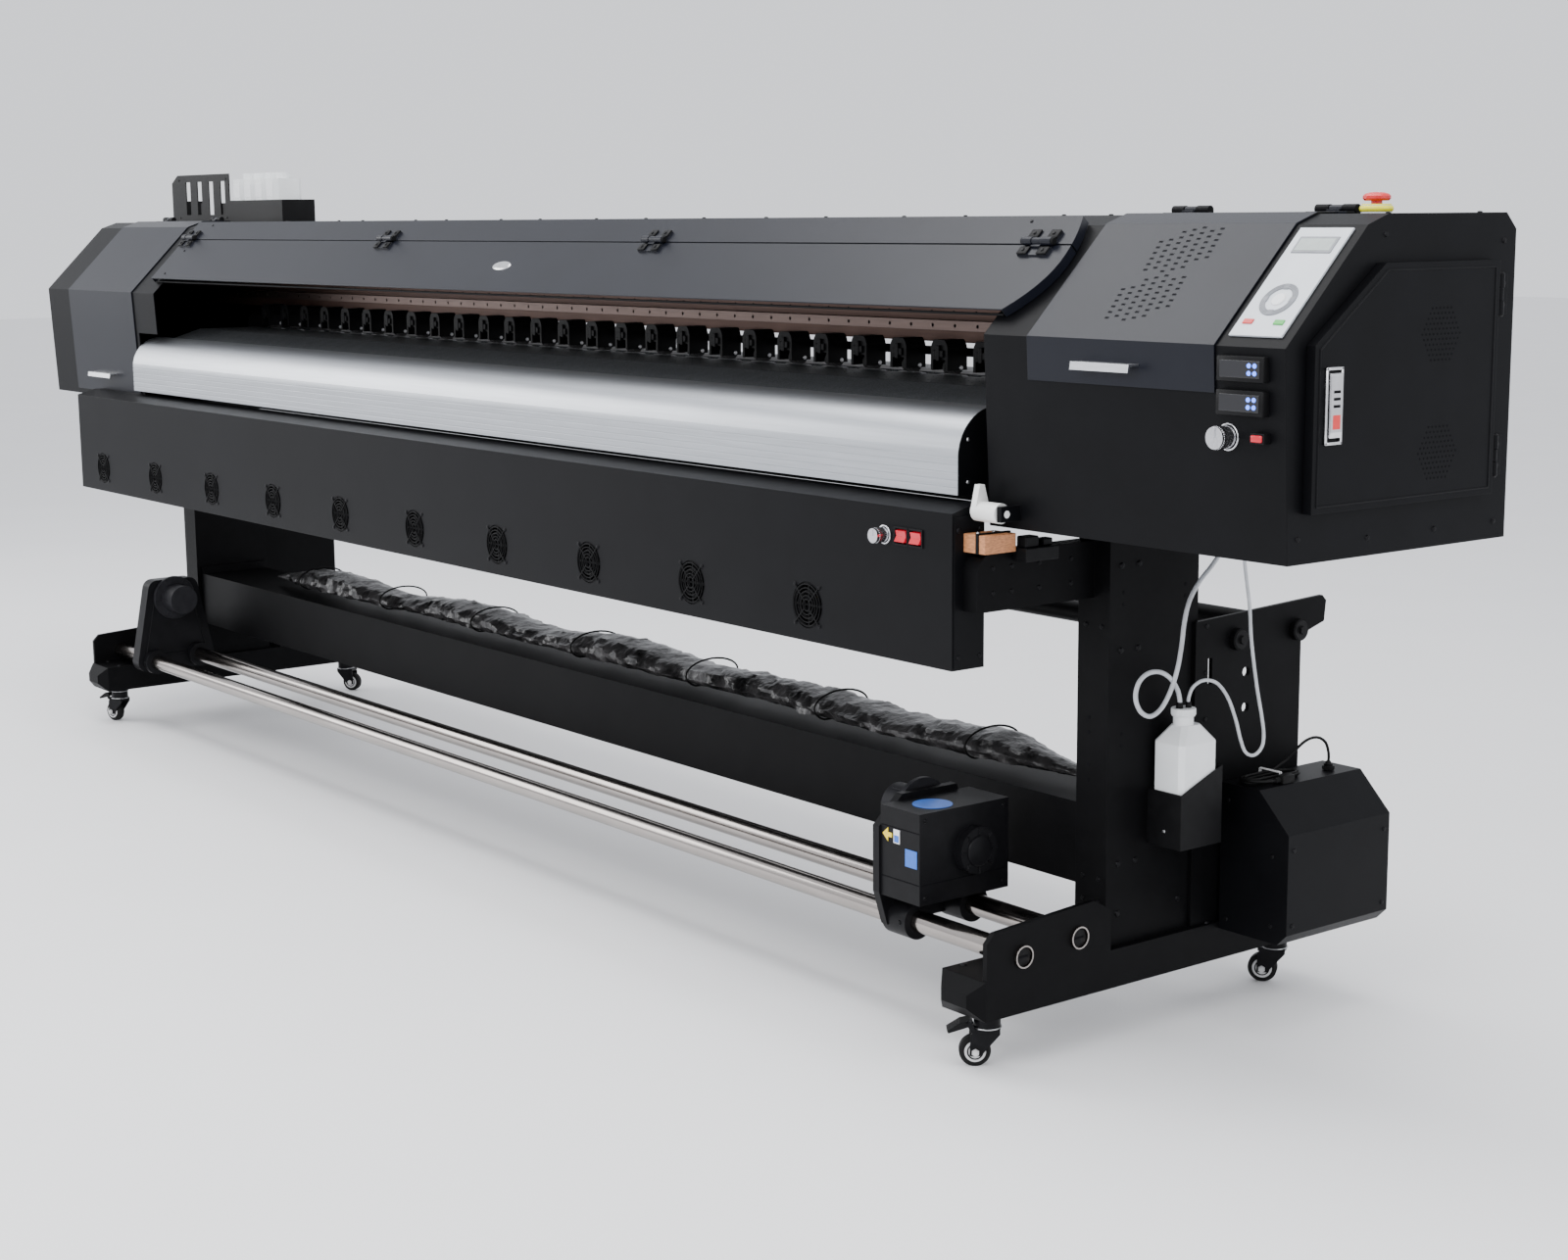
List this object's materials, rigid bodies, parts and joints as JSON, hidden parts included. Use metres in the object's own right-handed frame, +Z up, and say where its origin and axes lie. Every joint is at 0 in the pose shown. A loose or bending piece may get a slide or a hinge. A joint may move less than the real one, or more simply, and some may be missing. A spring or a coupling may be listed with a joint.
{
  "type": "roll-to-roll wide-format printer",
  "caption": "Castored wide-format printer with a long hinged lid, rounded silver sheet guide, drying duct, end cabinets, roll take-up tubes and waste bottle.",
  "frame": {"origin": "on the floor, under the middle of the bounding box", "axes": "+X along the body to the operator's right, -Y towards the operator, +Z up"},
  "size_m": [4.5496, 0.841, 1.493],
  "materials": {
    "body_black": "satin powder coat",
    "cover_black": "smooth satin paint",
    "frame_black": "fine textured powder coat",
    "guide_silver": "satin anodised",
    "platen_dark": "speckled dark anodised",
    "tube_chrome": "polished",
    "rail_steel": "ground",
    "beam_bronze": "satin anodised",
    "shaft_steel": "ground",
    "pinch_black": "moulded",
    "pinch_rubber": "matt",
    "lever_white": "moulded",
    "carriage_grey": "satin",
    "caster_steel": "satin",
    "wheel_black": "matt",
    "pedal_black": "moulded",
    "fan_black": "moulded",
    "knob_silver": "turned",
    "rocker_red": "gloss, lit",
    "handle_silver": "satin",
    "latch_chrome": "polished",
    "board_green": "circuit boards on a plate",
    "panel_white": "printed film",
    "stop_red": "gloss",
    "rack_black": "satin",
    "bottle_white": "translucent polythene",
    "hose_grey": "silicone tube",
    "cable_black": "matt PVC",
    "takeup_black": "satin",
    "flange_grey": "moulded"
  },
  "bodies": {
    "root": {"leg_left": "frame_black", "leg_right": "frame_black", "cross_beam": "frame_black", "takeup_tubes": "tube_chrome", "base_girder": "frame_black", "side_frames": "frame_black", "front_guide": "guide_silver", "platens": "platen_dark", "main_beam": "beam_bronze", "guide_rail": "rail_steel", "drying_duct": "body_black", "fan_units": "fan_black", "left_cap": "body_black", "rear_cover": "cover_black", "right_box": "body_black", "electronics": "board_green", "panel_instruments": "panel_white", "ink_rack": "rack_black", "ink_bottles": "bottle_white", "rear_feed_frame": "frame_black", "aux_box": "body_black", "bottle_holder": "rack_black", "waste_bottle": "bottle_white", "waste_hose": "hose_grey", "return_hose": "hose_grey", "aux_lead": "cable_black", "aux_lead_hank": "cable_black", "aux_lead_plug": "cable_black"},
    "caster_fork_fl": {"caster_fork_fl": "caster_steel"},
    "caster_fork_fr": {"caster_fork_fr": "caster_steel"},
    "caster_fork_rl": {"caster_fork_rl": "caster_steel"},
    "caster_fork_rr": {"caster_fork_rr": "caster_steel"},
    "caster_wheel_fl": {"caster_wheel_fl": "wheel_black"},
    "caster_wheel_fr": {"caster_wheel_fr": "wheel_black"},
    "caster_wheel_rl": {"caster_wheel_rl": "wheel_black"},
    "caster_wheel_rr": {"caster_wheel_rr": "wheel_black"},
    "brake_pedal_l": {"brake_pedal_l": "pedal_black"},
    "brake_pedal_r": {"brake_pedal_r": "pedal_black"},
    "feed_shaft": {"feed_shaft": "shaft_steel"},
    "pinch_arms": {"pinch_arms": "pinch_black"},
    "pinch_wheels": {"pinch_wheels": "pinch_rubber"},
    "pinch_lever": {"pinch_lever": "lever_white"},
    "carriage": {"carriage": "carriage_grey"},
    "capping_station": {"capping_station": "carriage_grey"},
    "duct_knob": {"duct_knob": "knob_silver"},
    "duct_rocker_left": {"duct_rocker_left": "rocker_red"},
    "duct_rocker_right": {"duct_rocker_right": "rocker_red"},
    "left_hood": {"left_hood": "cover_black", "hood_handle_left": "handle_silver"},
    "front_lid": {"front_lid": "cover_black"},
    "right_hood": {"right_hood": "cover_black", "hood_handle_right": "handle_silver"},
    "side_door": {"side_door": "body_black"},
    "door_latch": {"door_latch": "latch_chrome"},
    "box_knob": {"box_knob": "knob_silver"},
    "estop_button": {"estop_button": "stop_red"},
    "takeup_drive": {"takeup_drive": "takeup_black"},
    "takeup_idler": {"takeup_idler": "takeup_black"},
    "drive_flange": {"drive_flange": "flange_grey"},
    "idler_flange": {"idler_flange": "flange_grey"}
  },
  "joints": [
    {"name": "swivel_fl", "type": "hinge", "parent": "root", "child": "caster_fork_fl", "pos_m": [-1.8765, -0.347, 0.095], "axis": [0, 0, 1], "continuous": true},
    {"name": "wheel_fl", "type": "hinge", "parent": "caster_fork_fl", "child": "caster_wheel_fl", "pos_m": [-1.89529, -0.35384, 0.026], "axis": [0.342, -0.9397, 0], "continuous": true},
    {"name": "swivel_fr", "type": "hinge", "parent": "root", "child": "caster_fork_fr", "pos_m": [1.6825, -0.347, 0.095], "axis": [0, 0, 1], "continuous": true},
    {"name": "wheel_fr", "type": "hinge", "parent": "caster_fork_fr", "child": "caster_wheel_fr", "pos_m": [1.67019, -0.36276, 0.026], "axis": [0.788, -0.6157, 0], "continuous": true},
    {"name": "swivel_rl", "type": "hinge", "parent": "root", "child": "caster_fork_rl", "pos_m": [-1.8765, 0.347, 0.095], "axis": [0, 0, 1], "continuous": true},
    {"name": "wheel_rl", "type": "hinge", "parent": "caster_fork_rl", "child": "caster_wheel_rl", "pos_m": [-1.86012, 0.35847, 0.026], "axis": [-0.5736, 0.8192, 0], "continuous": true},
    {"name": "swivel_rr", "type": "hinge", "parent": "root", "child": "caster_fork_rr", "pos_m": [1.6825, 0.347, 0.095], "axis": [0, 0, 1], "continuous": true},
    {"name": "wheel_rr", "type": "hinge", "parent": "caster_fork_rr", "child": "caster_wheel_rr", "pos_m": [1.66612, 0.33553, 0.026], "axis": [0.5736, -0.8192, 0], "continuous": true},
    {"name": "brake_l", "type": "hinge", "parent": "caster_fork_fl", "child": "brake_pedal_l", "pos_m": [-1.90375, -0.35692, 0.074], "axis": [0.342, -0.9397, 0], "range_deg": [0, 12]},
    {"name": "brake_r", "type": "hinge", "parent": "caster_fork_fr", "child": "brake_pedal_r", "pos_m": [1.66465, -0.36985, 0.074], "axis": [0.788, -0.6157, 0], "range_deg": [0, 12]},
    {"name": "feed_spin", "type": "hinge", "parent": "root", "child": "feed_shaft", "pos_m": [0.0585, -0.03, 1.07], "axis": [1, 0, 0], "continuous": true},
    {"name": "pinch_lift", "type": "hinge", "parent": "root", "child": "pinch_arms", "pos_m": [0.0585, 0.008, 1.122], "axis": [-1, 0, 0], "range_deg": [0, 8]},
    {"name": "pinch_spin", "type": "hinge", "parent": "pinch_arms", "child": "pinch_wheels", "pos_m": [0.0585, -0.03, 1.0974], "axis": [1, 0, 0], "continuous": true},
    {"name": "lever_turn", "type": "hinge", "parent": "root", "child": "pinch_lever", "pos_m": [1.7125, -0.35, 0.905], "axis": [1, 0, 0], "range_deg": [0, 60]},
    {"name": "carriage_travel", "type": "slide", "parent": "root", "child": "carriage", "axis": [-1, 0, 0], "range_m": [0, 3.55]},
    {"name": "cap_lift", "type": "slide", "parent": "root", "child": "capping_station", "axis": [0, 0, -1], "range_m": [0, 0.012]},
    {"name": "duct_knob_turn", "type": "hinge", "parent": "root", "child": "duct_knob", "pos_m": [1.4815, -0.394, 0.854], "axis": [0, -1, 0], "range_deg": [0, 280]},
    {"name": "duct_rocker_left_tilt", "type": "hinge", "parent": "root", "child": "duct_rocker_left", "pos_m": [1.5235, -0.384, 0.855], "axis": [1, 0, 0], "range_deg": [0, 12]},
    {"name": "duct_rocker_right_tilt", "type": "hinge", "parent": "root", "child": "duct_rocker_right", "pos_m": [1.5595, -0.384, 0.855], "axis": [1, 0, 0], "range_deg": [0, 12]},
    {"name": "left_hood_open", "type": "hinge", "parent": "root", "child": "left_hood", "pos_m": [-1.8895, -0.058, 1.368], "axis": [-1, 0, 0], "range_deg": [0, 80]},
    {"name": "right_hood_open", "type": "hinge", "parent": "root", "child": "right_hood", "pos_m": [1.9435, -0.058, 1.368], "axis": [-1, 0, 0], "range_deg": [0, 80]},
    {"name": "front_lid_open", "type": "hinge", "parent": "root", "child": "front_lid", "pos_m": [0.0585, -0.22823, 1.32213], "axis": [-1, 0, 0], "range_deg": [0, 100]},
    {"name": "side_door_open", "type": "hinge", "parent": "root", "child": "side_door", "pos_m": [2.2695, 0.124, 1.129], "axis": [0, 0, 1], "range_deg": [0, 110]},
    {"name": "latch_pull", "type": "hinge", "parent": "side_door", "child": "door_latch", "pos_m": [2.2831, -0.254, 1.141], "axis": [0, -1, 0], "range_deg": [0, 40]},
    {"name": "box_knob_turn", "type": "hinge", "parent": "root", "child": "box_knob", "pos_m": [2.1575, -0.34, 1.053], "axis": [0, -1, 0], "range_deg": [0, 280]},
    {"name": "estop_press", "type": "slide", "parent": "root", "child": "estop_button", "axis": [0, 0, -1], "range_m": [0, 0.005], "stiffness_N_per_m": 1500, "springref_m": -0.004},
    {"name": "takeup_drive_slide", "type": "slide", "parent": "root", "child": "takeup_drive", "axis": [-1, 0, 0], "range_m": [0, 1.2]},
    {"name": "takeup_idler_slide", "type": "slide", "parent": "root", "child": "takeup_idler", "axis": [1, 0, 0], "range_m": [0, 1.2]},
    {"name": "drive_spin", "type": "hinge", "parent": "takeup_drive", "child": "drive_flange", "pos_m": [1.4205, -0.257, 0.36], "axis": [1, 0, 0], "continuous": true},
    {"name": "idler_spin", "type": "hinge", "parent": "takeup_idler", "child": "idler_flange", "pos_m": [-1.7265, -0.257, 0.36], "axis": [1, 0, 0], "continuous": true}
  ],
  "couplings": [
    {"joint": "pinch_spin", "follows": "feed_spin", "ratio": -1.2333},
    {"joint": "pinch_lift", "follows": "lever_turn", "ratio": 0.13333}
  ]
}
